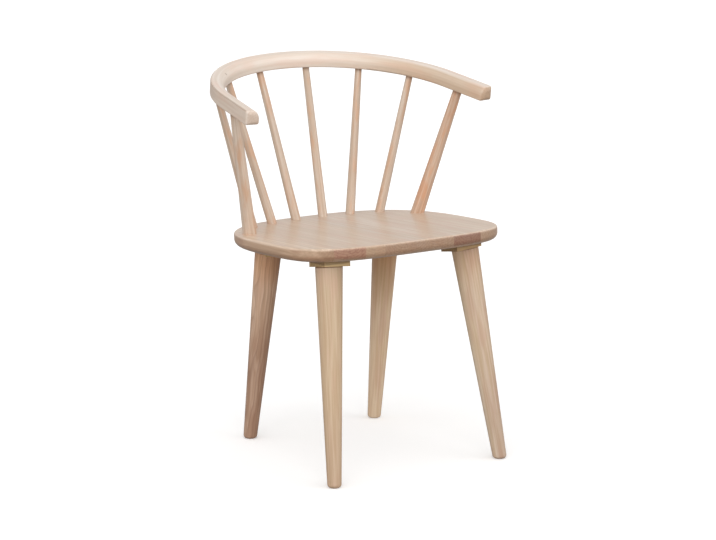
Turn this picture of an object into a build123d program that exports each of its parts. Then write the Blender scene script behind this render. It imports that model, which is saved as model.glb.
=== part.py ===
from build123d import *
import math
import os

# Spindle back armchair in whitewashed hardwood. Millimetres, degrees.
# Modelled with +Z up, the front towards -Y, and X = 0 the plane of symmetry. While it is built,
# Y = 0 lies half-way between the front and rear feet. The finished chair is then moved along Y
# so that its origin is on the floor, under the middle of its bounding box.

# Seat board, edge-glued from staves that run front to back
SEAT_HEIGHT = 450.0             # seat top at Y = 0
SEAT_TILT = 3.75                # front edge up
SEAT_WIDTH = 474.0
SEAT_WIDEST_Y = -18.0           # where the board is widest
SEAT_FRONT_REACH = 186.5        # from the widest line to the front edge
SEAT_BACK_REACH = 260.0         # from the widest line to the back edge
SEAT_FRONT_SQUARENESS = 3.6     # superellipse exponent: 2 is an ellipse, more is squarer
SEAT_BACK_SQUARENESS = 2.77
SEAT_OUTLINE_STEPS = 48
SEAT_THICKNESS = 26.5
SEAT_TOP_EASE = 5.0             # rounding of the top edge
SEAT_UNDER_EASE = 13.0          # rounding of the lower edge
STAVE_WIDTHS = (57.0, 60.0, 41.0, 59.0, 40.0, 57.5, 68.0, 91.5)   # from the left edge

# Bow rail: one flat C, with arms that open out a little towards the front
RAIL_RISE = 689.0               # height of its underside plane at Y = 0
RAIL_TILT = 7.46                # back up
RAIL_THICKNESS = 28.6
RAIL_DEPTH = 29.0               # underside to top
BOW_RADIUS = 255.4              # to the middle of the thickness
BOW_CENTRE_Y = 62.1             # in the rail's own plane
ARM_FLARE = 6.5                 # each arm's angle away from straight ahead
ARM_LENGTH = 126.0              # straight part of each arm
RAIL_INNER_TOP_ROUND = 17.0     # the soft edge that the sitter touches
RAIL_INNER_UNDER_ROUND = 4.0
RAIL_OUTER_TOP_ROUND = 2.5
RAIL_OUTER_UNDER_ROUND = 3.0
ARM_END_EASE = 9.0              # the soft ends of the arms

# Thin spindles, in mirrored pairs from the middle of the back outwards
SPINDLE_PITCH = 24.7            # angle between neighbours along the bow
SPINDLE_SEAT_ANGLES = (82.0, 67.0, 52.6)   # seen from the seat's centre, from +X
SPINDLE_SEAT_INSETS = (35.0, 35.0, 29.5)   # seat edge to spindle middle, on that line
SPINDLE_FOOT_DIAMETER = 18.9
SPINDLE_TOP_DIAMETER = 13.6
SPINDLE_SEAT_TENON = 14.0
SPINDLE_RAIL_TENON = 10.0

# Thick posts under the arms
POST_ARM_SETBACK = 36.5         # from the start of the straight arm
POST_SEAT_ANGLE = 32.8
POST_SEAT_INSET = 28.0
POST_FOOT_DIAMETER = 26.9
POST_TOP_DIAMETER = 18.0
POST_SEAT_TENON = 18.0
POST_RAIL_TENON = 13.0

# Round tenons of posts and spindles
SEAT_TENON_DEPTH = 18.0
RAIL_TENON_DEPTH = 16.0
GLUE_GAP = 0.1                  # around tenons and shanks
SOCKET_END_GAP = 0.5            # past a tenon's or shank's end

# Legs: middles on the floor, and where their axes meet the underside of the seat
FRONT_FOOT_X = 192.0
FRONT_FOOT_Y = -198.5
FRONT_LEG_TOP_X = 155.0
FRONT_LEG_TOP_Y = -121.0
REAR_FOOT_X = 148.6
REAR_FOOT_Y = 198.5
REAR_LEG_TOP_X = 137.6
REAR_LEG_TOP_Y = 133.5
FOOT_DIAMETER = 27.4
LEG_TOP_DIAMETER = 53.5
FOOT_EASE = 6.5
LEG_TOP_EASE = 1.5

# Wedge blocks between legs and seat, with undersides square to the legs
BLOCK_SIDE = 58.0
BLOCK_THICKNESS = 17.0          # along the leg's axis
BLOCK_INSET = 5.0               # from the leg's middle towards the middle of the seat, both ways
BLOCK_EDGE_EASE = 1.5

# Hanger bolt of each leg, and the threaded insert in the seat that it screws into
BOLT_DIAMETER = 8.0
BOLT_IN_LEG = 45.0
BOLT_IN_SEAT = 14.0
BOLT_POINT = 6.0
BOLT_CHAMFER = 1.0
INSERT_DIAMETER = 12.0
INSERT_LENGTH = 13.0
INSERT_RECESS = 2.5             # above the underside of the seat, on the leg's axis

# Countersunk screws that hold each block to the seat, clear of the leg
SCREW_DIAMETER = 4.0
SCREW_HEAD_DIAMETER = 8.0
SCREW_HEAD_HEIGHT = 2.6
SCREW_LENGTH = 30.0
SCREW_POINT = 5.0
SCREW_TIP_DIAMETER = 1.0
SCREW_CLEAR_OF_LEG = 1.0        # head's rim to the leg's rim
SCREW_TURN = 35.0               # from the block's sides, round the leg's axis
SCREW_RECESS_SPAN = 4.4         # cross recess of the head
SCREW_RECESS_WIDTH = 1.1
SCREW_RECESS_DEPTH = 1.6

SIDES = {"left": -1, "right": 1}


# Frames that the pieces share

def tilted_frame(height, tilt):
    """Plane through (0, 0, height), turned about X so that its back edge rises by tilt."""
    turn = math.radians(tilt)
    return Plane(origin=(0, 0, height), x_dir=(1, 0, 0), z_dir=(0, -math.sin(turn), math.cos(turn)))


SEAT_TOP = tilted_frame(SEAT_HEIGHT, -SEAT_TILT)
SEAT_UNDERSIDE = SEAT_TOP.offset(-SEAT_THICKNESS)
RAIL_UNDERSIDE = tilted_frame(RAIL_RISE, RAIL_TILT)


def on_plane(plane, x, y):
    """The point of a tilted plane straight above or below (x, y)."""
    normal = plane.z_dir
    start = plane.origin
    z = start.Z - (normal.X * (x - start.X) + normal.Y * (y - start.Y)) / normal.Z
    return Vector(x, y, z)


def frame_along(start, end):
    """Plane at start with its Z axis towards end and its X axis close to the chair's X."""
    direction = (end - start).normalized()
    across = Vector(0, 1, 0).cross(direction)
    return Plane(origin=start, x_dir=across, z_dir=direction)


# Seat outline

def seat_edge_distance(angle):
    """From the seat's centre to its edge, at an angle from +X."""
    across = abs(math.cos(math.radians(angle))) / (SEAT_WIDTH / 2)
    along = math.sin(math.radians(angle))
    behind = along >= 0
    reach = SEAT_BACK_REACH if behind else SEAT_FRONT_REACH
    power = SEAT_BACK_SQUARENESS if behind else SEAT_FRONT_SQUARENESS
    return (across ** power + (abs(along) / reach) ** power) ** (-1 / power)


def seat_point(angle, inset=0.0):
    """Point of the seat's own plane, an inset inside its edge on the line from its centre."""
    distance = seat_edge_distance(angle) - inset
    turn = math.radians(angle)
    return Vector(distance * math.cos(turn), SEAT_WIDEST_Y + distance * math.sin(turn))


def seat_board():
    """The whole board, before its holes are drilled."""
    steps = [360 * i / SEAT_OUTLINE_STEPS for i in range(SEAT_OUTLINE_STEPS)]
    outline = Spline(*[seat_point(angle) for angle in steps], periodic=True)
    board = extrude(make_face(outline), amount=-SEAT_THICKNESS)
    levels = board.edges().group_by(Axis.Z)
    board = fillet(levels[-1], SEAT_TOP_EASE)
    board = fillet(board.edges().group_by(Axis.Z)[0], SEAT_UNDER_EASE)
    return SEAT_TOP.location * board


def cut_staves(board):
    """The drilled board, sawn along its glue lines, from left to right."""
    staves = []
    left = -SEAT_WIDTH / 2
    for index in range(len(STAVE_WIDTHS)):
        if left >= SEAT_WIDTH / 2:
            break
        last = index == len(STAVE_WIDTHS) - 1
        right = SEAT_WIDTH / 2 if last else min(left + STAVE_WIDTHS[index], SEAT_WIDTH / 2)
        piece = board
        if left > -SEAT_WIDTH / 2:
            piece = split(piece, Plane.YZ.offset(left), keep=Keep.TOP)
        if right < SEAT_WIDTH / 2:
            piece = split(piece, Plane.YZ.offset(right), keep=Keep.BOTTOM)
        staves.append(piece)
        left = right
    return staves


# Bow rail

def bow_point(angle):
    """World point on the underside, on the middle of the bow, at an angle from +X."""
    turn = math.radians(angle)
    x = BOW_RADIUS * math.cos(turn)
    y = BOW_CENTRE_Y + BOW_RADIUS * math.sin(turn)
    return RAIL_UNDERSIDE.from_local_coords(Vector(x, y, 0))


def arm_point(setback):
    """World point on the underside of the right arm, so far from where the arm goes straight."""
    turn = math.radians(ARM_FLARE)
    x = BOW_RADIUS * math.cos(turn) + setback * math.sin(turn)
    y = BOW_CENTRE_Y + BOW_RADIUS * math.sin(turn) - setback * math.cos(turn)
    return RAIL_UNDERSIDE.from_local_coords(Vector(x, y, 0))


def rail_section():
    """Section with +X outwards: square outside, softly rounded on the sitter's side."""
    section = Pos(0, RAIL_DEPTH / 2) * Rectangle(RAIL_THICKNESS, RAIL_DEPTH)
    corners = (
        (-1, 1, RAIL_INNER_TOP_ROUND),
        (-1, 0, RAIL_INNER_UNDER_ROUND),
        (1, 1, RAIL_OUTER_TOP_ROUND),
        (1, 0, RAIL_OUTER_UNDER_ROUND),
    )
    for side, level, radius in corners:
        spot = Vector(side * RAIL_THICKNESS / 2, level * RAIL_DEPTH)
        corner = section.vertices().sort_by_distance(spot)[0]
        section = fillet(corner, radius)
    return section


def bow_rail():
    turn = math.radians(ARM_FLARE)
    start = Plane(
        origin=(BOW_RADIUS * math.cos(turn), BOW_CENTRE_Y + BOW_RADIUS * math.sin(turn), 0),
        x_dir=(math.cos(turn), math.sin(turn), 0),
        z_dir=(math.sin(turn), -math.cos(turn), 0),
    )
    section = start.location * rail_section()
    bow_axis = Axis((0, BOW_CENTRE_Y, 0), (0, 0, 1))
    bow = revolve(section, axis=bow_axis, revolution_arc=180 - 2 * ARM_FLARE)
    arm = extrude(section, amount=ARM_LENGTH, dir=start.z_dir)
    end_face = arm.faces().sort_by(Axis(start.origin, start.z_dir))[-1]
    arm = fillet(end_face.edges(), ARM_END_EASE)
    rail = bow + arm + mirror(arm, Plane.YZ)
    return RAIL_UNDERSIDE.location * rail


# Posts and spindles

class Upright:
    """A tapered turned rod from the seat to the rail, with a round tenon at each end."""

    def __init__(self, foot, top, diameters, tenons):
        self.foot = foot
        self.top = top
        self.foot_diameter, self.top_diameter = diameters
        self.seat_tenon, self.rail_tenon = tenons
        self.frame = frame_along(foot, top)
        self.length = (top - foot).length

    def rod(self, diameter, start, end):
        """Cylinder on the axis, between two distances from the foot."""
        middle = (start + end) / 2
        return self.frame.location * Pos(0, 0, middle) * Cylinder(diameter / 2, end - start)

    def body(self):
        """Cone between the two shoulders, which lie flat on the seat and under the rail."""
        slope = (self.top_diameter - self.foot_diameter) / self.length
        extra = self.foot_diameter
        low = (self.foot_diameter - slope * extra) / 2
        high = (self.top_diameter + slope * extra) / 2
        height = self.length + 2 * extra
        cone = self.frame.location * Pos(0, 0, self.length / 2) * Cone(low, high, height)
        cone = split(cone, SEAT_TOP, keep=Keep.TOP)
        return split(cone, RAIL_UNDERSIDE, keep=Keep.BOTTOM)

    def solid(self):
        seat_end = self.rod(self.seat_tenon, -SEAT_TENON_DEPTH, self.foot_diameter)
        rail_start = self.length - self.top_diameter
        rail_end = self.rod(self.rail_tenon, rail_start, self.length + RAIL_TENON_DEPTH)
        return self.body() + seat_end + rail_end

    def seat_socket(self):
        depth = SEAT_TENON_DEPTH + SOCKET_END_GAP
        return self.rod(self.seat_tenon + 2 * GLUE_GAP, -depth, self.foot_diameter)

    def rail_socket(self):
        start = self.length - self.top_diameter
        end = self.length + RAIL_TENON_DEPTH + SOCKET_END_GAP
        return self.rod(self.rail_tenon + 2 * GLUE_GAP, start, end)


def mirrored(point, side):
    """A right-hand point, or its mirror image for the left side."""
    return Vector(side * point.X, point.Y, point.Z)


def seat_foot(angle, inset):
    """World point on the seat's top."""
    return SEAT_TOP.from_local_coords(seat_point(angle, inset))


def make_posts():
    foot = seat_foot(POST_SEAT_ANGLE, POST_SEAT_INSET)
    top = arm_point(POST_ARM_SETBACK)
    diameters = (POST_FOOT_DIAMETER, POST_TOP_DIAMETER)
    tenons = (POST_SEAT_TENON, POST_RAIL_TENON)
    return {
        f"{name}_post": Upright(mirrored(foot, side), mirrored(top, side), diameters, tenons)
        for name, side in SIDES.items()
    }


def make_spindles():
    """Spindles numbered from the chair's left to its right."""
    spindles = {}
    count = len(SPINDLE_SEAT_ANGLES)
    diameters = (SPINDLE_FOOT_DIAMETER, SPINDLE_TOP_DIAMETER)
    tenons = (SPINDLE_SEAT_TENON, SPINDLE_RAIL_TENON)
    for pair in range(count):
        foot = seat_foot(SPINDLE_SEAT_ANGLES[pair], SPINDLE_SEAT_INSETS[pair])
        top = bow_point(90 - (pair + 0.5) * SPINDLE_PITCH)
        for side in SIDES.values():
            number = count - pair if side < 0 else count + pair + 1
            ends = (mirrored(foot, side), mirrored(top, side))
            spindles[f"spindle_{number}"] = Upright(*ends, diameters, tenons)
    return spindles


# Legs, blocks and fasteners

class LegSet:
    """One leg with its wedge block, hanger bolt, insert and block screws."""

    def __init__(self, foot_x, foot_y, top_x, top_y):
        self.foot = Vector(foot_x, foot_y, 0)
        self.seat_hit = on_plane(SEAT_UNDERSIDE, top_x, top_y)
        direction = (self.seat_hit - self.foot).normalized()
        self.leg_top = self.seat_hit - direction * BLOCK_THICKNESS
        self.frame = frame_along(self.leg_top, self.seat_hit)
        self.length = (self.leg_top - self.foot).length
        self.inward_x = -math.copysign(1, foot_x)
        self.inward_y = -math.copysign(1, foot_y)

    def rod(self, diameter, start, end):
        """Cylinder on the leg's axis, between two heights above the leg's top."""
        return self.frame.location * Pos(0, 0, (start + end) / 2) * Cylinder(diameter / 2, end - start)

    def leg(self):
        slope = (LEG_TOP_DIAMETER - FOOT_DIAMETER) / self.length
        extra = FOOT_DIAMETER
        low = (FOOT_DIAMETER - slope * extra) / 2
        height = self.length + extra
        cone = self.frame.location * Pos(0, 0, -height / 2) * Cone(low, LEG_TOP_DIAMETER / 2, height)
        leg = split(cone, Plane.XY, keep=Keep.TOP)
        foot_face = leg.faces().sort_by(Axis.Z)[0]
        leg = fillet(foot_face.edges(), FOOT_EASE)
        top_face = leg.faces().sort_by(Axis(self.leg_top, self.frame.z_dir))[-1]
        leg = fillet(top_face.edges(), LEG_TOP_EASE)
        return leg - self.rod(BOLT_DIAMETER + 2 * GLUE_GAP, -BOLT_IN_LEG - SOCKET_END_GAP, BOLT_IN_LEG)

    def block(self):
        """Square prism hung from the seat and sawn off square to the leg."""
        centre = SEAT_UNDERSIDE.to_local_coords(self.leg_top)
        x = centre.X + self.inward_x * BLOCK_INSET
        y = centre.Y + self.inward_y * BLOCK_INSET
        drop = BLOCK_THICKNESS + BLOCK_SIDE
        prism = Pos(x, y, -drop / 2) * Box(BLOCK_SIDE, BLOCK_SIDE, drop)
        prism = fillet(prism.edges().filter_by(Axis.Z), BLOCK_EDGE_EASE)
        block = split(SEAT_UNDERSIDE.location * prism, self.frame, keep=Keep.TOP)
        block -= self.rod(BOLT_DIAMETER + 2 * GLUE_GAP, -BLOCK_SIDE, BLOCK_SIDE)
        for hole in self.screw_holes():
            block -= hole
        return block

    def bolt(self):
        """Wood thread end in the leg, machine thread end in the insert."""
        end = BLOCK_THICKNESS + BOLT_IN_SEAT
        shank = self.rod(BOLT_DIAMETER, BOLT_POINT - BOLT_IN_LEG, end)
        rim = shank.edges().sort_by(Axis(self.leg_top, self.frame.z_dir))[-1]
        shank = chamfer(rim, BOLT_CHAMFER)
        point = Pos(0, 0, BOLT_POINT / 2 - BOLT_IN_LEG) * Cone(BOLT_CHAMFER, BOLT_DIAMETER / 2, BOLT_POINT)
        return shank + self.frame.location * point

    def insert(self):
        start = BLOCK_THICKNESS + INSERT_RECESS
        sleeve = self.rod(INSERT_DIAMETER, start, start + INSERT_LENGTH)
        return sleeve - self.rod(BOLT_DIAMETER + 2 * GLUE_GAP, 0, start + 2 * INSERT_LENGTH)

    def insert_hole(self):
        end = BLOCK_THICKNESS + INSERT_RECESS + INSERT_LENGTH + SOCKET_END_GAP
        return self.rod(INSERT_DIAMETER + 2 * GLUE_GAP, 0, end)

    def screw_places(self):
        """Two spots just outside the leg, each on one of the block's two roomier sides."""
        reach = LEG_TOP_DIAMETER / 2 + SCREW_CLEAR_OF_LEG + SCREW_HEAD_DIAMETER / 2
        inside = reach * math.cos(math.radians(SCREW_TURN))
        outside = -reach * math.sin(math.radians(SCREW_TURN))
        spots = ((inside, outside), (outside, inside))
        return [self.frame.location * Pos(self.inward_x * x, self.inward_y * y, 0) for x, y in spots]

    def screw_shape(self, gap):
        """Countersunk screw with its head flush at Z = 0, grown all round by a gap."""
        head = Cone(SCREW_HEAD_DIAMETER / 2 + gap, SCREW_DIAMETER / 2 + gap, SCREW_HEAD_HEIGHT)
        shank_end = SCREW_LENGTH - SCREW_POINT + gap
        shank = Cylinder(SCREW_DIAMETER / 2 + gap, shank_end)
        point = Cone(SCREW_DIAMETER / 2 + gap, SCREW_TIP_DIAMETER / 2, SCREW_POINT + gap)
        screw = Pos(0, 0, SCREW_HEAD_HEIGHT / 2) * head + Pos(0, 0, shank_end / 2) * shank
        return screw + Pos(0, 0, shank_end + (SCREW_POINT + gap) / 2) * point

    def screws(self):
        recess = Box(SCREW_RECESS_SPAN, SCREW_RECESS_WIDTH, 2 * SCREW_RECESS_DEPTH)
        screw = self.screw_shape(0.0) - recess - Rot(0, 0, 90) * recess
        return [place * screw for place in self.screw_places()]

    def screw_holes(self):
        return [place * self.screw_shape(GLUE_GAP) for place in self.screw_places()]


def make_leg_sets():
    rows = {
        "front": (FRONT_FOOT_X, FRONT_FOOT_Y, FRONT_LEG_TOP_X, FRONT_LEG_TOP_Y),
        "rear": (REAR_FOOT_X, REAR_FOOT_Y, REAR_LEG_TOP_X, REAR_LEG_TOP_Y),
    }
    return {
        f"{row}_{name}": LegSet(side * foot_x, foot_y, side * top_x, top_y)
        for row, (foot_x, foot_y, top_x, top_y) in rows.items()
        for name, side in SIDES.items()
    }


def make_chair():
    """Every node of the chair, by name."""
    uprights = {**make_posts(), **make_spindles()}
    leg_sets = make_leg_sets()
    nodes = {}

    board = seat_board()
    for upright in uprights.values():
        board -= upright.seat_socket()
    for leg_set in leg_sets.values():
        board -= leg_set.insert_hole()
        for hole in leg_set.screw_holes():
            board -= hole
    for index, stave in enumerate(cut_staves(board)):
        nodes[f"seat_stave_{index + 1}"] = stave

    rail = bow_rail()
    for upright in uprights.values():
        rail -= upright.rail_socket()
    nodes["bow_rail"] = rail

    for name, upright in uprights.items():
        nodes[name] = upright.solid()

    screws = []
    for name, leg_set in leg_sets.items():
        nodes[f"{name}_leg"] = leg_set.leg()
        nodes[f"{name}_leg_block"] = leg_set.block()
        nodes[f"{name}_hanger_bolt"] = leg_set.bolt()
        nodes[f"{name}_threaded_insert"] = leg_set.insert()
        screws.extend(leg_set.screws())
    nodes["block_screws"] = Compound([solid for screw in screws for solid in screw.solids()])
    return nodes


def main():
    nodes = make_chair()
    boxes = [shape.bounding_box() for shape in nodes.values()]
    middle_y = (min(box.min.Y for box in boxes) + max(box.max.Y for box in boxes)) / 2
    print("origin moved along Y by", round(-middle_y, 3))
    os.makedirs("parts", exist_ok=True)
    for name, shape in nodes.items():
        export_step(Pos(0, -middle_y, 0) * shape, f"parts/{name}.step")


main()
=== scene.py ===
import math
from functools import partial

import bmesh
import bpy
from mathutils import Matrix, Vector


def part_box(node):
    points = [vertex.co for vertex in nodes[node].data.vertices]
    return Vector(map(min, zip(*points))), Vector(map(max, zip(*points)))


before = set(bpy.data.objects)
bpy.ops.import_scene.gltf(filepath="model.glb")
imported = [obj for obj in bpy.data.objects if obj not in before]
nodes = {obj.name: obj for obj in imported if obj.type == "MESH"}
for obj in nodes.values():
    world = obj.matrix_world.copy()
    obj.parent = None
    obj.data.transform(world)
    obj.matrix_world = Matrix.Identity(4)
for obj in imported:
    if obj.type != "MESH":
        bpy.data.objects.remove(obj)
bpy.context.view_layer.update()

# Spindle back armchair in whitewashed rubberwood. Metres, in the frame of the solids:
# +Z up, the front towards -Y, the origin on the floor under the middle of the chair.
# The materials' patterns are in millimetres.

MM = 0.001

# Camera solved from the photograph, for a frame of 716 x 540
FRAME_WIDTH = 716
CAMERA_PLACE = Vector((-3.17697, -5.12403, 1.67733))
CAMERA_AZIMUTH = -31.9859
CAMERA_ELEVATION = 12.3634
CAMERA_ROLL = -0.1752
CAMERA_FOCAL_PIXELS = 3101.75
SENSOR_WIDTH = 36.0

# The rail's own plane and curve, as in the solids
BOW_CENTRE = Vector((0.0, 0.002916, 0.697063))   # on the underside plane
RAIL_TILT = math.radians(7.46)
RAIL_DEPTH = 29.0
RAIL_THICKNESS = 28.6
RAIL_EDGE_ROUND = 2.5                            # the sharp outer edge on top
BOW_RADIUS = 255.4
ARM_FLARE = math.radians(6.5)
ARM_LENGTH = 126.0
BOW_HALF_RUN = BOW_RADIUS * (math.pi / 2 - ARM_FLARE)   # from the bow's middle to where an arm starts
rail_up = Vector((0.0, -math.sin(RAIL_TILT), math.cos(RAIL_TILT)))

# The seat's tilt, and the glue lines between its staves, from left to right
SEAT_TILT = math.radians(3.75)
STAVE_EDGES = (-237.0, -180.0, -120.0, -79.0, -20.0, 20.0, 77.5, 145.5, 237.0)
seat_run = Vector((0.0, math.cos(SEAT_TILT), -math.sin(SEAT_TILT)))
seat_up = Vector((0.0, math.sin(SEAT_TILT), math.cos(SEAT_TILT)))

CORNERS = ("front_left", "front_right", "rear_left", "rear_right")
UPWARDS = Vector((0.0, 0.0, 1.0))


def linear(hex_colour):
    """An sRGB hex value as a linear colour with full alpha."""
    channels = [int(hex_colour[i:i + 2], 16) / 255 for i in (1, 3, 5)]
    return [c / 12.92 if c <= 0.04045 else ((c + 0.055) / 1.055) ** 2.4 for c in channels] + [1.0]


# Settings that many nodes share
SOFT = {"interpolation_type": "SMOOTHSTEP"}
COLOUR = {"data_type": "RGBA"}
TINT = {"data_type": "RGBA", "blend_type": "MULTIPLY"}


def add(tree, kind, inputs=None, out=0, **settings):
    """Adds one node and gives one of its outputs; an input is a value, or an output to link.

    A Map Range takes its value at 0, the range that counts at 1 and 2, and what that becomes at 3 and 4.
    A Mix takes its amount at 0, and numbers at 2 and 3, vectors at 4 and 5, or colours at 6 and 7.
    """
    node = tree.nodes.new("ShaderNode" + kind)
    for name, value in settings.items():
        setattr(node, name, value)
    for name, value in (inputs or {}).items():
        if isinstance(value, bpy.types.NodeSocket):
            tree.links.new(value, node.inputs[name])
        else:
            node.inputs[name].default_value = value
    return node.outputs[out] if node.outputs else None


def new_material(name):
    material = bpy.data.materials.new(name)
    material.use_nodes = True
    material.node_tree.nodes.clear()
    return material, partial(add, material.node_tree)


# Where the grain runs in a piece. Each of these gives a point in millimetres, with Z along the grain
# and the rings' middle at X = Y = 0, and how far the surface there is end grain, from 0 to 1.

END_GRAIN_FACING = (0.55, 0.95)   # how far a face looks along the grain where end grain starts and is full
ARM_END_GRAIN = (5.0, 1.5)        # how far before an arm's end it starts and is full


def straight_grain(node, start, end, pith, along):
    direction = (end - start).normalized()
    turn = direction.to_track_quat("Z", "Y")
    origin = start + turn @ (Vector((*pith, -along)) * MM)
    here = node("TexCoord", out="Object")
    grain = node("Mapping", {"Vector": here, "Location": origin, "Rotation": turn.to_euler(),
                             "Scale": (MM, MM, MM)}, vector_type="TEXTURE")
    normal = node("NewGeometry", out="Normal")
    facing = node("VectorMath", {0: normal, 1: direction}, "Value", operation="DOT_PRODUCT")
    away = node("Math", {0: facing}, operation="ABSOLUTE")
    starts_at, full_at = END_GRAIN_FACING
    end_grain = node("MapRange", {0: away, 1: starts_at, 2: full_at}, **SOFT)
    return grain, end_grain


def bent_grain(node, pith, along):
    """Along the bow, and then straight out along each arm."""
    here = node("TexCoord", out="Object")
    flat = node("Mapping", {"Vector": here, "Location": BOW_CENTRE, "Rotation": (RAIL_TILT, 0.0, 0.0),
                            "Scale": (MM, MM, MM)}, vector_type="TEXTURE")
    parts = node("SeparateXYZ", {0: flat}).node.outputs
    half = node("Math", {0: parts["X"]}, operation="ABSOLUTE")
    spot = node("CombineXYZ", {"X": half, "Y": parts["Y"]})

    bow_out = node("VectorMath", {0: spot}, "Value", operation="LENGTH")
    turn = node("Math", {0: parts["Y"], 1: half}, operation="ARCTAN2")
    bow_run = node("Math", {0: turn, 1: -BOW_RADIUS, 2: BOW_RADIUS * ARM_FLARE}, operation="MULTIPLY_ADD")

    outwards = (math.cos(ARM_FLARE), math.sin(ARM_FLARE), 0.0)
    forwards = (math.sin(ARM_FLARE), -math.cos(ARM_FLARE), 0.0)
    arm_out = node("VectorMath", {0: spot, 1: outwards}, "Value", operation="DOT_PRODUCT")
    arm_run = node("VectorMath", {0: spot, 1: forwards}, "Value", operation="DOT_PRODUCT")

    on_arm = node("Math", {0: arm_run, 1: 0.0}, operation="GREATER_THAN")
    out = node("Mix", {0: on_arm, 2: bow_out, 3: arm_out})
    run = node("Mix", {0: on_arm, 2: bow_run, 3: arm_run})
    side = node("Math", {0: parts["X"]}, operation="SIGN")
    from_middle = node("Math", {0: run, 1: BOW_HALF_RUN}, operation="ADD")
    whole_run = node("Math", {0: from_middle, 1: side, 2: along}, operation="MULTIPLY_ADD")
    across = node("Math", {0: out, 1: BOW_RADIUS + pith[0]}, operation="SUBTRACT")
    up = node("Math", {0: parts["Z"], 1: pith[1]}, operation="SUBTRACT")
    grain = node("CombineXYZ", {"X": across, "Y": up, "Z": whole_run})
    starts_at, full_at = (ARM_LENGTH - before for before in ARM_END_GRAIN)
    end_grain = node("MapRange", {0: run, 1: starts_at, 2: full_at}, **SOFT)
    return grain, end_grain


# Sizes of the wood's patterns: width across the grain and length along it. Real pores are a tenth of a
# millimetre wide; they and the flecks of pores cut across are drawn wider so that they show.
WANDER_WIDTH = 45.0
STREAK_LENGTH = 260.0
FIBRE_SIZE = (1.4, 60.0)
PORE_SIZE = (0.5, 7.0)
FLECK_SIZE = (3.2, 40.0)
SEASON_POWER = 3.0    # how late in a year the tone deepens
YEAR_END = 0.93       # when the thin line at the end of a year starts to fade
PORE_SINK = -1.5      # depth of a pore against the height of a fibre


def wood_tone(node, grain, end_grain, look):
    """The colour of the washed wood, and the height of its fibres and pores."""
    # Slow wander of the grain, some millimetres to either side
    slow_scale = (1 / WANDER_WIDTH, 1 / WANDER_WIDTH, 1 / look["wander_length"])
    slow = node("Mapping", {0: grain, "Scale": slow_scale})
    drift = node("TexNoise", {"Vector": slow, "Scale": 1.0, "Detail": 2.0}, "Color")
    centred = node("VectorMath", {0: drift, 1: (0.5, 0.5, 0.5)}, operation="SUBTRACT")
    push = (look["wander"], look["wander"], 0.0)
    wavy = node("VectorMath", {0: centred, 1: push, 2: grain}, operation="MULTIPLY_ADD")

    # Growth rings: the tone deepens over each year, and ends in a thin line
    per_year = (1 / look["ring"], 1 / look["ring"], 0.0)
    round_pith = node("VectorMath", {0: wavy, 1: per_year}, operation="MULTIPLY")
    years = node("VectorMath", {0: round_pith}, "Value", operation="LENGTH")
    season = node("Math", {0: years}, operation="FRACT")
    deepening = node("Math", {0: season, 1: SEASON_POWER}, operation="POWER")
    year_end = node("MapRange", {0: season, 1: YEAR_END, 2: 1.0, 3: 1.0, 4: 0.0})
    rings = node("Math", {0: deepening, 1: year_end}, operation="MULTIPLY")

    # Broad streaks, fine fibres, clouds of warmer wood, pores, and flecks of pores cut across
    sizes = {"streak": (look["streak"], STREAK_LENGTH), "fibre": FIBRE_SIZE, "blush": look["blush_size"],
             "pore": PORE_SIZE, "fleck": FLECK_SIZE}
    noise = {}
    for pattern, (width, length) in sizes.items():
        drawn_out = node("Mapping", {0: wavy, "Scale": (1 / width, 1 / width, 1 / length)})
        noise[pattern] = node(
            "TexNoise", {"Vector": drawn_out, "Scale": 1.0, "Detail": 2.0, "Roughness": 0.6})

    # Rings show most where they are cut across, and flecks only there
    ring_depth = node("MapRange", {0: end_grain, 3: look["ring_depth"], 4: look["end_ring_depth"]})
    fleck_depth = node("MapRange", {0: end_grain, 4: look["fleck_depth"]})
    # Each layer: its pattern, where that starts and is full, how deep it goes, and its colour in the look
    layers = (
        (noise["streak"], 0.35, 0.65, 1.0, "dark"),
        (noise["fibre"], 0.40, 0.72, look["fibre_depth"], "dark"),
        (noise["blush"], 0.45, 0.66, look["blush_depth"], "blush"),
        (noise["pore"], 0.64, 0.74, look["pore_depth"], "late"),
        (end_grain, 0.0, 1.0, look["end_depth"], "end"),
        (rings, 0.0, 1.0, ring_depth, "late"),
        (noise["fleck"], 0.48, 0.66, fleck_depth, "late"),
    )
    tone = linear(look["light"])
    for pattern, low, high, depth, colour in layers:
        amount = node("MapRange", {0: pattern, 1: low, 2: high, 4: depth}, **SOFT)
        tone = node("Mix", {0: amount, 6: tone, 7: linear(look[colour])}, 2, **COLOUR)
    relief = node("Math", {0: noise["pore"], 1: PORE_SINK, 2: noise["fibre"]}, operation="MULTIPLY_ADD")
    return tone, relief, noise["fibre"]


FIBRE_RELIEF = 0.3 * MM
SHEEN_BREAK = (-0.04, 0.06)   # how far the roughness strays from the look's gloss, along the fibres


def satin_lacquer(material, node, tone, relief, fibres, look, normal=None):
    """Clear satin lacquer over the wood: a soft sheen that breaks a little along the fibres.
    The shading follows the surface, unless a normal is given."""
    normal = normal or node("NewGeometry", out="Normal")
    smoothest, roughest = (look["gloss"] + stray for stray in SHEEN_BREAK)
    roughness = node("MapRange", {0: fibres, 1: 0.3, 2: 0.7, 3: smoothest, 4: roughest})
    bump = node("Bump", {"Height": relief, "Strength": 0.2, "Distance": FIBRE_RELIEF, "Normal": normal})
    shader = node("BsdfPrincipled", {
        "Base Color": tone, "Roughness": roughness, "Normal": bump, "IOR": 1.5,
        "Coat Weight": look["coat"], "Coat Roughness": 0.2, "Coat IOR": 1.5})
    node("OutputMaterial", {"Surface": shader})
    return material


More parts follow.
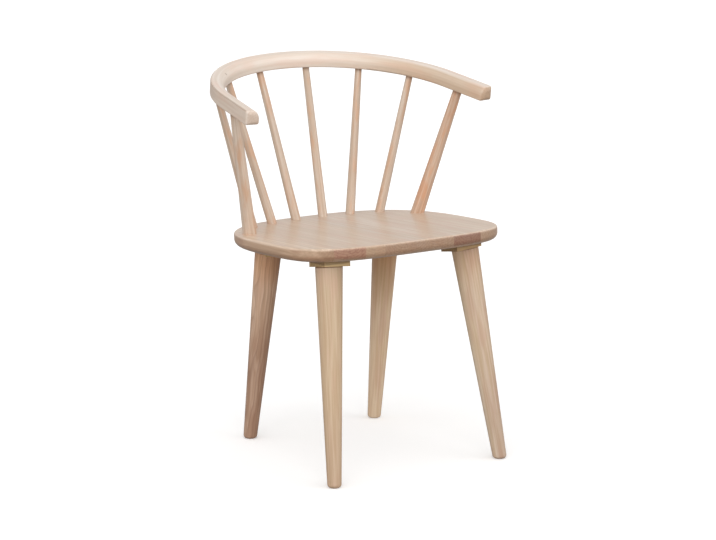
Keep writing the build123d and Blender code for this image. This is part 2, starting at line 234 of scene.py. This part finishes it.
# Looks of the wood. Rubberwood, planed or turned and sanded smooth, under a white wash and a satin lacquer:
# pale and straight grained, with low contrast, warm blushes, fine dark pores and a soft sheen. The wash is
# thickest on the rail. The blocks are only sanded and thinly lacquered, so they stay golden and duller.

WOOD = {
    "light": "#CFB697", "dark": "#C1A382", "late": "#AE8B69", "blush": "#CFA890", "end": "#A98663",
    "wander": 7.0, "wander_length": 320.0, "ring": 5.0, "ring_depth": 0.2, "end_ring_depth": 0.35,
    "streak": 5.0, "fibre_depth": 0.3, "pore_depth": 0.25, "blush_depth": 0.45, "blush_size": (24.0, 120.0),
    "end_depth": 0.6, "fleck_depth": 0.5, "gloss": 0.42, "coat": 0.12, "surface": "whitewashed",
}
RAIL = dict(
    WOOD, light="#EADDD1", dark="#E1D1C2", late="#C6AC95", blush="#E6C9B7", end="#C9AF9B",
    streak=8.0, ring_depth=0.12, fibre_depth=0.2, blush_depth=0.5)
SPINDLE = dict(
    WOOD, light="#D4C2B1", dark="#C3AB95", late="#A98A70", blush="#D0A07C",
    blush_depth=0.6, blush_size=(13.0, 65.0))
SEAT = dict(
    WOOD, light="#DDC8B2", dark="#CFB69E", late="#AC8F79", blush="#D3B09A", end="#AB8667", end_depth=0.5,
    end_ring_depth=0.55, streak=7.0, ring_depth=0.14, gloss=0.33,
    edge="#B29476", edge_depth=0.46, under_depth=0.08, rubbed_depth=0.2)
BLOCK = dict(
    WOOD, light="#E3C592", dark="#CFAC73", late="#96754F", blush="#CBA676", end="#BD9760", gloss=0.5,
    surface="sanded")


def dress(piece, material):
    for slot in nodes[piece].material_slots:
        slot.material = material


def reach_of(piece, direction):
    """How far a piece reaches in a direction."""
    return max(direction.dot(v.co) for v in nodes[piece].data.vertices)


def dress_straight(piece, start, end, pith, along, look, shades):
    """Wood with its grain along a line. Its tone may be darkened on one side, a painted shade, and with
    each shade: a direction, how far along it the shade starts and is full, its depth and its colour."""
    material, node = new_material(f"{look['surface']}_rubberwood_{piece}")
    grain, end_grain = straight_grain(node, start, end, pith, along)
    tone, relief, fibres = wood_tone(node, grain, end_grain, look)
    here = node("TexCoord", out="Object")
    deeper = []
    for towards, none_at, full_at, depth, colour in shades:
        distance = node("VectorMath", {0: here, 1: towards}, "Value", operation="DOT_PRODUCT")
        deeper.append((distance, none_at, full_at, depth, colour))
    # Painted shade on the side of the piece that faces a given way
    if "heart" in look:
        side, none_at, full_at, colour = look["heart"]
        normal = node("NewGeometry", out="Normal")
        facing = node("VectorMath", {0: normal, 1: side}, "Value", operation="DOT_PRODUCT")
        deeper.append((facing, none_at, full_at, 1.0, colour))
    for pattern, none_at, full_at, depth, colour in deeper:
        deep = node("MapRange", {0: pattern, 1: none_at, 2: full_at, 4: depth}, **SOFT)
        tone = node("Mix", {0: deep, 6: tone, 7: linear(colour)}, 2, **TINT)
    dress(piece, satin_lacquer(material, node, tone, relief, fibres, look))


def turned_ends(piece):
    """The middles of a turned piece's lower and upper end."""
    low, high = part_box(piece)
    reach = 0.04 * (high.z - low.z)
    points = [v.co for v in nodes[piece].data.vertices]
    lower = [p for p in points if p.z < low.z + reach]
    upper = [p for p in points if p.z > high.z - reach]
    return sum(lower, Vector()) / len(lower), sum(upper, Vector()) / len(upper)


def painted_joint_shade(direction, level, starts_before, full_before, depth, colour):
    """A painted shade by a joint, where shadow falls between the parts, given in millimetres before the
    joint.
    """
    return direction, level - starts_before * MM, level - full_before * MM, depth, colour


# Legs, each with its drift of tone up or down it. Two of them have painted shade on their right side.
PAINTED_SHADE_SIDE = (0.85, -0.53, 0.0)
# Painted shadow in a thin line at each leg's top, where it meets its block, and warm painted shade over a
# leg's upper part, under the seat
LEG_JOINT_SHADOW_TONE = "#8F6C40"
TOP_SHADE_TONE = "#FAE6D0"
LEG_LOOKS = {
    "front_left_leg": dict(
        WOOD, joint_depth=0.8, top_depth=0.0, drift=(UPWARDS, 0.22, 0.02, 1.0, "#F6F2F4")),
    "front_right_leg": dict(
        WOOD, light="#E3CEB3", dark="#D3B998", joint_depth=0.35, top_depth=0.45,
        drift=(UPWARDS, 0.28, 0.05, 1.0, "#F0EEF2"), heart=(PAINTED_SHADE_SIDE, -0.8, 0.2, "#EDE8E8")),
    "rear_left_leg": dict(
        WOOD, light="#DFC0A6", dark="#C5A285", late="#936E57", blush="#C39C82", ring_depth=0.45,
        wander=14.0, wander_length=120.0, joint_depth=0.6, top_depth=1.0,
        drift=(UPWARDS, 0.33, 0.17, 1.0, "#D8CFCC"), heart=(PAINTED_SHADE_SIDE, -0.2, 1.0, "#E0D5CC")),
    # The rear right leg's drift darkens its top: painted shade under the seat
    "rear_right_leg": dict(
        WOOD, light="#E3C9AB", dark="#D5B592", joint_depth=0.6, top_depth=1.0,
        drift=(UPWARDS, 0.215, 0.32, 1.0, "#E9DED0")),
}
for index, (piece, look) in enumerate(LEG_LOOKS.items()):
    pith = (14.0 + 6.0 * index, 9.0 - 8.0 * index)
    foot, top = turned_ends(piece)
    upwards = (top - foot).normalized()
    reach = reach_of(piece, upwards)
    # Painted shadow at the top joint, and warm painted shade under the seat
    joint_shadow = painted_joint_shade(upwards, reach, 3.0, 1.2, look["joint_depth"], LEG_JOINT_SHADOW_TONE)
    top_shade = painted_joint_shade(upwards, reach, 95.0, 12.0, look["top_depth"], TOP_SHADE_TONE)
    dress_straight(piece, foot, top, pith, 700.0 * index, look, (look["drift"], top_shade, joint_shadow))

# Posts and spindles, with painted shadow at their tops under the rail
RAIL_SHADOW_TONE = "#A98A6E"
UPRIGHT_LOOKS = {f"spindle_{number}": SPINDLE for number in range(1, 7)}
UPRIGHT_LOOKS["left_post"] = dict(SPINDLE, light="#DDCAB8", dark="#CCB39D")
UPRIGHT_LOOKS["right_post"] = dict(SPINDLE, light="#D2B8A2", dark="#BE9B82", blush="#D29A74")
rail_shadow = painted_joint_shade(rail_up, rail_up.dot(BOW_CENTRE), 10.0, 1.0, 0.6, RAIL_SHADOW_TONE)
for index, (piece, look) in enumerate(UPRIGHT_LOOKS.items()):
    pith = (8.0 - 3.0 * index, 7.0 + 2.0 * index)
    dress_straight(piece, *turned_ends(piece), pith, 5000.0 + 470.0 * index, look, (rail_shadow,))

# Rail, with its outer and upper faces as distances from the rings' middle
RAIL_PITH = (-34.0, -22.0)
RAIL_ALONG = 900.0
RAIL_OUTER_FACE = RAIL_THICKNESS / 2 - RAIL_PITH[0]
RAIL_UPPER_FACE = RAIL_DEPTH - RAIL_PITH[1]
RAIL_CORNER = RAIL_OUTER_FACE + RAIL_UPPER_FACE
RAIL_TAN_RUN = (40.0, 320.0)              # from the bow's middle to the right, where tan starts and is full
RAIL_TAN = "#E6DACB"
RAIL_OUTER_SHADE_TONE = "#F3ECE6"
EDGE_LINE_TONE = "#A8937F"
PIN_KNOT = Vector((-9.3, 24.0, -207.0))   # across, up and along from the middle of the bow
KNOT_SIZE = (3.8, 1.2)                    # to its faded rim and its dark heart, drawn large so that it shows
KNOT_TONE = "#9A7C64"


def rail_normal(node, parts, corner):
    """The surface's own normal, but on the bow's sharp outer edge, where the solid's faces are coarse,
    that of the true round. It leans from the upper face to the outer one."""
    over_side = node("MapRange", {0: parts["X"], 1: RAIL_OUTER_FACE - RAIL_EDGE_ROUND, 2: RAIL_OUTER_FACE})
    over_top = node("MapRange", {0: parts["Y"], 1: RAIL_UPPER_FACE - RAIL_EDGE_ROUND, 2: RAIL_UPPER_FACE})
    here = node("TexCoord", out="Object")
    from_centre = node("VectorMath", {0: here, 1: BOW_CENTRE}, operation="SUBTRACT")
    risen = node("VectorMath", {0: from_centre, 1: rail_up}, operation="PROJECT")
    level_out = node("VectorMath", {0: from_centre, 1: risen}, operation="SUBTRACT")
    outwards = node("VectorMath", {0: level_out}, operation="NORMALIZE")
    sideways = node("VectorMath", {0: outwards, "Scale": over_side}, operation="SCALE")
    upwards = node("VectorMath", {0: rail_up, "Scale": over_top}, operation="SCALE")
    leaning = node("VectorMath", {0: sideways, 1: upwards}, operation="ADD")
    rounded = node("VectorMath", {0: leaning}, operation="NORMALIZE")

    by_edge = node("MapRange", {0: corner, 1: RAIL_CORNER - 11.0, 2: RAIL_CORNER - 7.0}, **SOFT)
    run = node("Math", {0: parts["Z"], 1: RAIL_ALONG}, operation="SUBTRACT")
    from_middle = node("Math", {0: run}, operation="ABSOLUTE")
    on_bow = node("Math", {0: from_middle, 1: BOW_HALF_RUN}, operation="LESS_THAN")
    bow_edge = node("Math", {0: by_edge, 1: on_bow}, operation="MULTIPLY")
    own = node("NewGeometry", out="Normal")
    return node("Mix", {0: bow_edge, 4: own, 5: rounded}, 1, data_type="VECTOR")


def dress_rail():
    """Whitewashed wood bent into a bow: pale at the back and tan towards the right arm, with a pin knot,
    and a thin dark line on its sharp outer edge. Its outer face has painted shade."""
    material, node = new_material("whitewashed_rubberwood_bow_rail")
    grain, end_grain = bent_grain(node, RAIL_PITH, RAIL_ALONG)
    tone, relief, fibres = wood_tone(node, grain, end_grain, RAIL)
    parts = node("SeparateXYZ", {0: grain}).node.outputs
    corner = node("VectorMath", {0: grain, 1: (1.0, 1.0, 0.0)}, "Value", operation="DOT_PRODUCT")
    normal = rail_normal(node, parts, corner)

    starts_at, full_at = (RAIL_ALONG + run for run in RAIL_TAN_RUN)
    rightwards = node("MapRange", {0: parts["Z"], 1: starts_at, 2: full_at}, **SOFT)
    level = node("VectorMath", {0: normal, 1: rail_up}, "Value", operation="DOT_PRODUCT")
    below = node("MapRange", {0: level, 1: 0.98, 2: 0.75}, **SOFT)
    tan = node("Math", {0: rightwards, 1: below}, operation="MULTIPLY")
    tone = node("Mix", {0: tan, 6: tone, 7: linear(RAIL_TAN)}, 2, **TINT)

    # Painted shade on the outer face
    outer_face_shade = node("MapRange", {0: parts["X"], 1: RAIL_OUTER_FACE - 2.0, 2: RAIL_OUTER_FACE - 0.5}, **SOFT)
    tone = node("Mix", {0: outer_face_shade, 6: tone, 7: linear(RAIL_OUTER_SHADE_TONE)}, 2, **TINT)

    knot_place = PIN_KNOT + Vector((-RAIL_PITH[0], -RAIL_PITH[1], RAIL_ALONG))
    from_knot = node("VectorMath", {0: grain, 1: knot_place}, "Value", operation="DISTANCE")
    rim, heart = KNOT_SIZE
    knot = node("MapRange", {0: from_knot, 1: rim, 2: heart, 4: 0.7}, **SOFT)
    tone = node("Mix", {0: knot, 6: tone, 7: linear(KNOT_TONE)}, 2, **COLOUR)

    # A thin dark line along the sharp outer edge
    arris_band = node("MapRange", {0: corner, 1: RAIL_CORNER - 2.6, 2: RAIL_CORNER - 1.6, 4: 0.6}, **SOFT)
    tone = node("Mix", {0: arris_band, 6: tone, 7: linear(EDGE_LINE_TONE)}, 2, **COLOUR)
    dress("bow_rail", satin_lacquer(material, node, tone, relief, fibres, RAIL, normal))


dress_rail()

# Seat staves, each from its own board
STAVE_LOOKS = (
    dict(SEAT, light="#E3CBB4", edge="#BA976F", edge_depth=0.5, under_depth=0.45, rubbed_depth=0.0),
    dict(SEAT, light="#D7C0A9", end="#B0765E", late="#9A6652", under_depth=0.2, rubbed_depth=0.0),
    dict(SEAT, light="#D9C3AE", end="#B8946F", edge_depth=0.35, under_depth=0.2, rubbed_depth=0.0),
    dict(SEAT, light="#DAC4AF", late="#9E7F67"),
    dict(SEAT, light="#D6C3B3", late="#9E7F67"),
    dict(SEAT, light="#DCC9B7", late="#9E7F67"),
    dict(SEAT, light="#D9C5B2", end="#97664F", late="#8A5C4B", end_depth=0.7),
    dict(SEAT, light="#DDC8B3", edge="#B8967A", edge_depth=0.3, under_depth=0.25),
)
STAVE_START = (-0.26, 0.45)   # Y and Z of the front end, from which the grain runs
ARRIS_HIGHLIGHT_TONE = "#E9D8C6"
UNDERSIDE_SHADE_TONE = "#B58C5A"


def dress_stave(index, look):
    """Whitewashed wood, with a painted highlight on the upper arris. It is browner on the rounded edge, and
    painted shade darkens the faces that look down.
    """
    piece = f"seat_stave_{index + 1}"
    material, node = new_material(f"whitewashed_rubberwood_{piece}")
    start = Vector(((STAVE_EDGES[index] + STAVE_EDGES[index + 1]) / 2 * MM, *STAVE_START))
    pith = (18.0 - 11.0 * (index % 4), 26.0 + 9.0 * (index % 3))
    grain, end_grain = straight_grain(node, start, start + seat_run, pith, 9000.0 + 610.0 * index)
    tone, relief, fibres = wood_tone(node, grain, end_grain, look)

    # How far the surface looks up, from 1 on the top to -1 below
    normal = node("NewGeometry", out="Normal")
    level = node("VectorMath", {0: normal, 1: seat_up}, "Value", operation="DOT_PRODUCT")
    # Browner on the rounded edge
    on_rounded_edge = node("MapRange", {0: level, 1: 0.75, 2: 0.1, 4: look["edge_depth"]}, **SOFT)
    tone = node("Mix", {0: on_rounded_edge, 6: tone, 7: linear(look["edge"])}, 2, **TINT)
    # A painted highlight on the upper arris
    from_top = node("MapRange", {0: level, 1: 0.98, 2: 0.85}, **SOFT)
    arris_band = node("MapRange", {0: level, 1: 0.45, 2: 0.7, 4: look["rubbed_depth"]}, **SOFT)
    painted_highlight = node("Math", {0: from_top, 1: arris_band}, operation="MULTIPLY")
    tone = node("Mix", {0: painted_highlight, 6: tone, 7: linear(ARRIS_HIGHLIGHT_TONE)}, 2, **COLOUR)
    # Painted shade on the faces that look down
    underside_shade = node("MapRange", {0: level, 1: 0.15, 2: -0.45, 4: look["under_depth"]}, **SOFT)
    tone = node("Mix", {0: underside_shade, 6: tone, 7: linear(UNDERSIDE_SHADE_TONE)}, 2, **TINT)
    dress(piece, satin_lacquer(material, node, tone, relief, fibres, look))


for index, look in enumerate(STAVE_LOOKS):
    dress_stave(index, look)

# Blocks, with their grain from side to side, painted shadow from the seat over their tops and painted shade
# towards the middle of the chair
BLOCK_PITH = (20.0, 15.0)
SEAT_SHADOW_ON_BLOCK_TONE = "#7A5C36"
BLOCK_INNER_SHADE_TONE = "#9C8468"
BLOCK_LOOKS = {corner: BLOCK for corner in CORNERS}
# The front right block is a darker copy: painted shade from the seat's edge
BLOCK_LOOKS["front_right"] = dict(BLOCK, light="#CDAA78", dark="#B48F5E", late="#82643F", end="#9E7B50")
for index, (corner, look) in enumerate(BLOCK_LOOKS.items()):
    piece = f"{corner}_leg_block"
    low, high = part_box(piece)
    middle = (low + high) / 2
    side = middle + Vector((1.0, 0.0, 0.0))
    # Painted shadow of the seat over the block's upper part, and painted shade towards the middle of the
    # chair
    joint_shadow = painted_joint_shade(seat_up, reach_of(piece, seat_up), 11.5, 8.0, 0.55, SEAT_SHADOW_ON_BLOCK_TONE)
    inwards = Vector((-math.copysign(1.0, middle.x), -math.copysign(1.0, middle.y), 0.0)).normalized()
    corner_reach = -reach_of(piece, -inwards)
    inner_shade = (inwards, corner_reach + 12.0 * MM, corner_reach + 26.0 * MM, 0.12, BLOCK_INNER_SHADE_TONE)
    dress_straight(piece, middle, side, BLOCK_PITH, 15000.0 + 300.0 * index, look, (joint_shadow, inner_shade))


# Fasteners
ZINC_CLOUD = 2.5 * MM
ZINC_DARK = "#A9ADB2"
ZINC_LIGHT = "#CDCFCE"


def zinc_plated_steel():
    """Bright zinc plate on rolled steel: pale grey with faint blue clouds and a broken sheen."""
    material, node = new_material("zinc_plated_steel")
    here = node("TexCoord", out="Object")
    clouds = node("TexNoise", {"Vector": here, "Scale": 1 / ZINC_CLOUD, "Detail": 3.0})
    tone = node("Mix", {0: clouds, 6: linear(ZINC_DARK), 7: linear(ZINC_LIGHT)}, 2, **COLOUR)
    roughness = node("MapRange", {0: clouds, 3: 0.25, 4: 0.45})
    bump = node("Bump", {"Height": clouds, "Strength": 0.15, "Distance": 0.1 * MM})
    shader = node("BsdfPrincipled", {
        "Base Color": tone, "Metallic": 1.0, "Roughness": roughness, "Normal": bump})
    node("OutputMaterial", {"Surface": shader})
    return material


plating = zinc_plated_steel()
for corner in CORNERS:
    dress(f"{corner}_hanger_bolt", plating)
    dress(f"{corner}_threaded_insert", plating)
dress("block_screws", plating)


# Floor
FLOOR_REACH = 20.0   # from its middle to each side
PAPER_SHADE = "#F8F7F6"
PAPER_LIGHT = "#FAFAFA"
WHITE = "#FFFFFF"


def matt_white_paper():
    """Seamless studio paper: matt and even, with the faintest clouds, lit a little from behind."""
    material, node = new_material("matt_white_paper")
    here = node("TexCoord", out="Object")
    clouds = node("TexNoise", {"Vector": here, "Scale": 2.0, "Detail": 2.0})
    tone = node("Mix", {0: clouds, 6: linear(PAPER_SHADE), 7: linear(PAPER_LIGHT)}, 2, **COLOUR)
    shader = node("BsdfPrincipled", {
        "Base Color": tone, "Roughness": 0.9, "Specular IOR Level": 0.1,
        "Emission Color": linear(WHITE), "Emission Strength": 0.22})
    node("OutputMaterial", {"Surface": shader})
    return material


mesh = bpy.data.meshes.new("floor")
sheet = bmesh.new()
bmesh.ops.create_grid(sheet, x_segments=1, y_segments=1, size=FLOOR_REACH)
sheet.to_mesh(mesh)
sheet.free()
floor = bpy.data.objects.new("floor", mesh)
bpy.context.scene.collection.objects.link(floor)
mesh.materials.append(matt_white_paper())


# Light: a white studio that is brightest in front of the chair, with soft lamps above and beside it.
# The floor's own bounce and reflection are left to the room's lower half, so that they stay even.

FRONT = Vector((-0.5, -0.84, 0.2)).normalized()
ROOM_FRONT, ROOM_BEHIND, ROOM_ABOVE = 1.3, 0.75, 0.6
GROUND_FRONT, GROUND_BEHIND = 0.4, 0.32

floor.visible_diffuse = False
floor.visible_glossy = False
world = bpy.data.worlds.new("white_studio")
bpy.context.scene.world = world
world.use_nodes = True
world.node_tree.nodes.clear()
node = partial(add, world.node_tree)
towards = node("TexCoord", out="Generated")
facing = node("VectorMath", {0: towards, 1: FRONT}, "Value", operation="DOT_PRODUCT")
frontal = node("MapRange", {0: facing, 1: -0.3, 2: 0.9}, **SOFT)
height = node("SeparateXYZ", {0: towards}, "Z")
above = node("MapRange", {0: height, 1: -0.06, 2: 0.06}, **SOFT)
overhead = node("MapRange", {0: height, 1: 0.2, 2: 0.8}, **SOFT)
walls = node("Mix", {0: frontal, 2: ROOM_BEHIND, 3: ROOM_FRONT})
upper = node("Mix", {0: overhead, 2: walls, 3: ROOM_ABOVE})
lower = node("Mix", {0: frontal, 2: GROUND_BEHIND, 3: GROUND_FRONT})
strength = node("Mix", {0: above, 2: lower, 3: upper})
glow = node("Background", {"Color": linear(WHITE), "Strength": strength})
node("OutputWorld", {"Surface": glow})


def softbox(name, direction, power, spread):
    """A broad soft lamp far away in a direction, with its spread in degrees."""
    lamp = bpy.data.lights.new(name, "SUN")
    lamp.energy = power
    lamp.angle = math.radians(spread)
    box = bpy.data.objects.new(name, lamp)
    box.rotation_euler = Vector(direction).to_track_quat("Z", "Y").to_euler()
    bpy.context.scene.collection.objects.link(box)


softbox("front_softbox", (-0.5, -0.75, 0.5), 0.75, 50.0)
softbox("overhead_softbox", (-0.1, -0.25, 1.0), 0.2, 50.0)
softbox("right_softbox", (0.65, -0.65, 0.4), 0.55, 60.0)
softbox("left_softbox", (-0.95, 0.1, 0.35), 0.35, 70.0)


# Camera at the photograph's viewing angle

azimuth, elevation, roll = (math.radians(a) for a in (CAMERA_AZIMUTH, CAMERA_ELEVATION, CAMERA_ROLL))
level_back = Vector((math.sin(azimuth), -math.cos(azimuth), 0.0))
level_right = Vector((math.cos(azimuth), math.sin(azimuth), 0.0))
back = math.cos(elevation) * level_back + math.sin(elevation) * UPWARDS
upright = back.cross(level_right)
right = math.cos(roll) * level_right + math.sin(roll) * upright
up = -math.sin(roll) * level_right + math.cos(roll) * upright
lens = bpy.data.cameras.new("photograph_view")
lens.sensor_width = SENSOR_WIDTH
lens.lens = CAMERA_FOCAL_PIXELS / FRAME_WIDTH * SENSOR_WIDTH
camera = bpy.data.objects.new("photograph_view", lens)
camera.matrix_world = Matrix.Translation(CAMERA_PLACE) @ Matrix((right, up, back)).transposed().to_4x4()
bpy.context.scene.collection.objects.link(camera)
bpy.context.scene.camera = camera
bpy.context.scene.view_settings.view_transform = "Standard"
